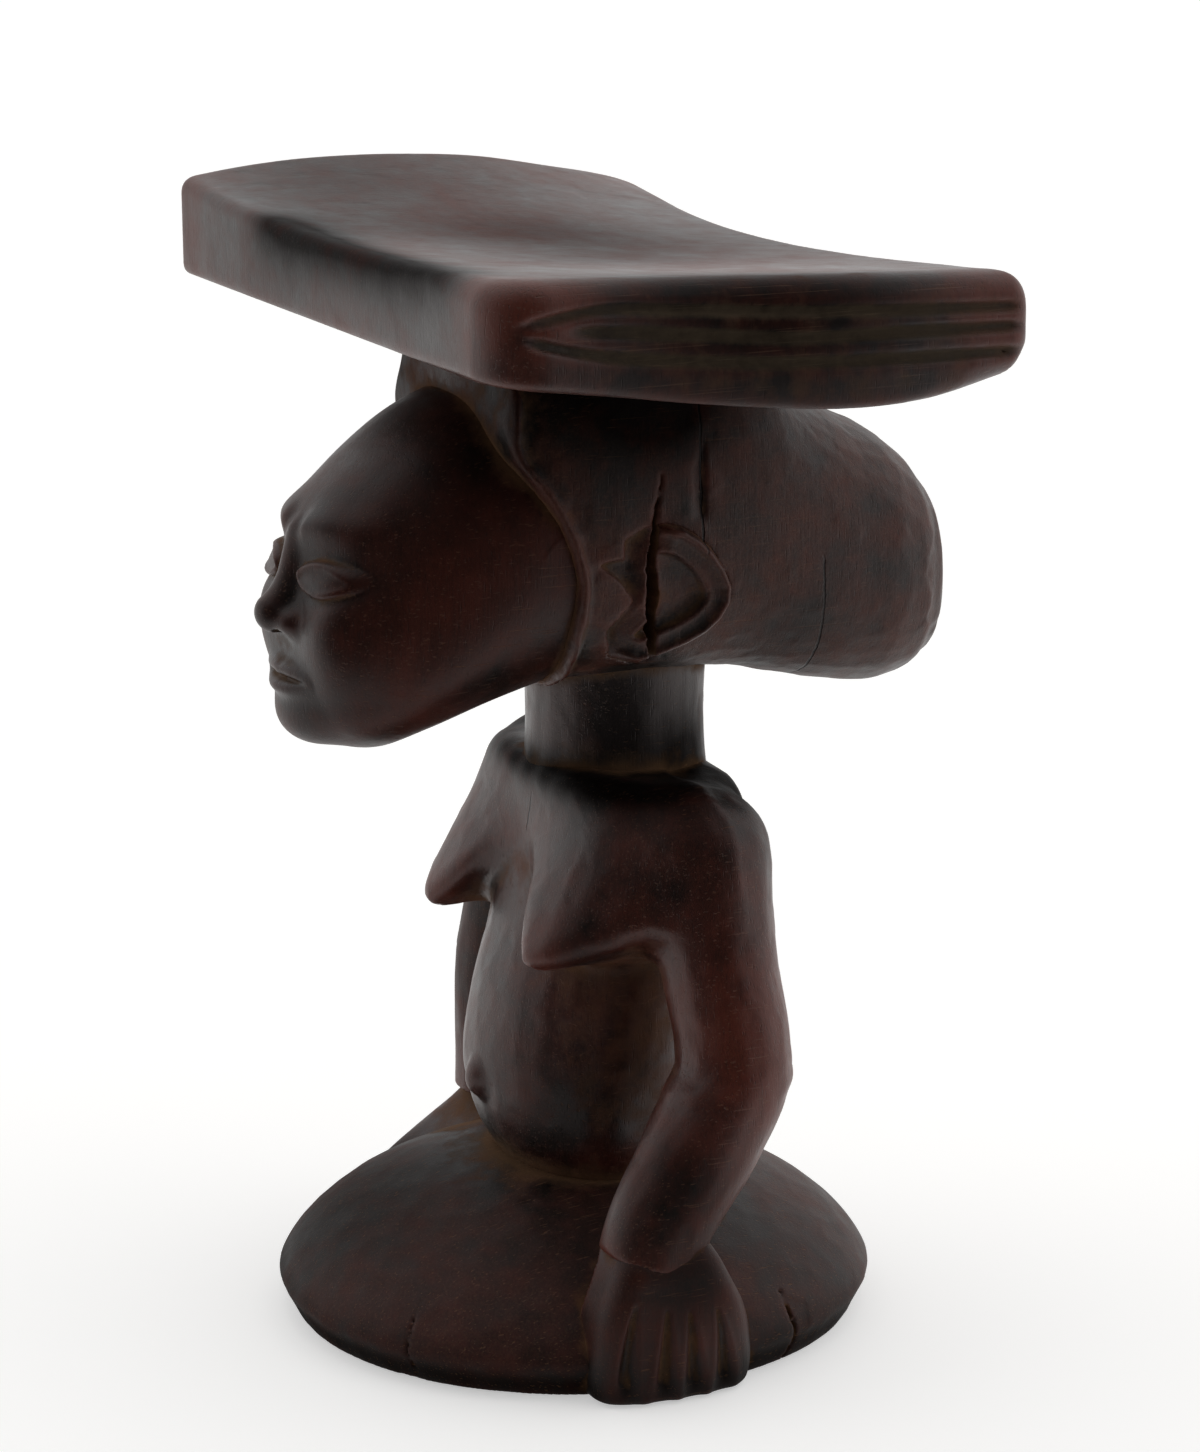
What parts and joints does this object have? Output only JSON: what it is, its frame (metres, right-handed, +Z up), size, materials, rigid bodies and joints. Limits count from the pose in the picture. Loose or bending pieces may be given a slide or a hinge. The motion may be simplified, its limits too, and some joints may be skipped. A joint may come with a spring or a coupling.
{
  "type": "carved wooden headrest",
  "caption": "Carved wooden headrest: a half figure on a round domed base, its hands over the rim, carries a curved head board on its head and long dressed hair.",
  "frame": {"origin": "centre of the base's flat underside, on the floor", "axes": "+Z up from the floor to the head board, +X to the figure's left along the board, -Y the way the figure faces"},
  "size_m": [0.1296, 0.1081, 0.1765],
  "materials": {
    "black_polished_wood": "dark hardwood, blackened and polished by handling",
    "rubbed_brown_wood": "dark hardwood, rubbed through to reddish brown on edges",
    "sooty_black_wood": "dark hardwood, matt with soot and dust"
  },
  "bodies": {
    "root": {"base": "black_polished_wood", "torso": "rubbed_brown_wood", "breast_left": "rubbed_brown_wood", "breast_right": "rubbed_brown_wood", "upper_arm_left": "rubbed_brown_wood", "upper_arm_right": "rubbed_brown_wood", "forearm_left": "rubbed_brown_wood", "forearm_right": "rubbed_brown_wood", "hand_left": "black_polished_wood", "hand_right": "black_polished_wood", "neck": "black_polished_wood", "head": "black_polished_wood", "coiffure": "sooty_black_wood", "ear_left": "sooty_black_wood", "ear_right": "sooty_black_wood", "head_board": "rubbed_brown_wood"}
  },
  "joints": []
}
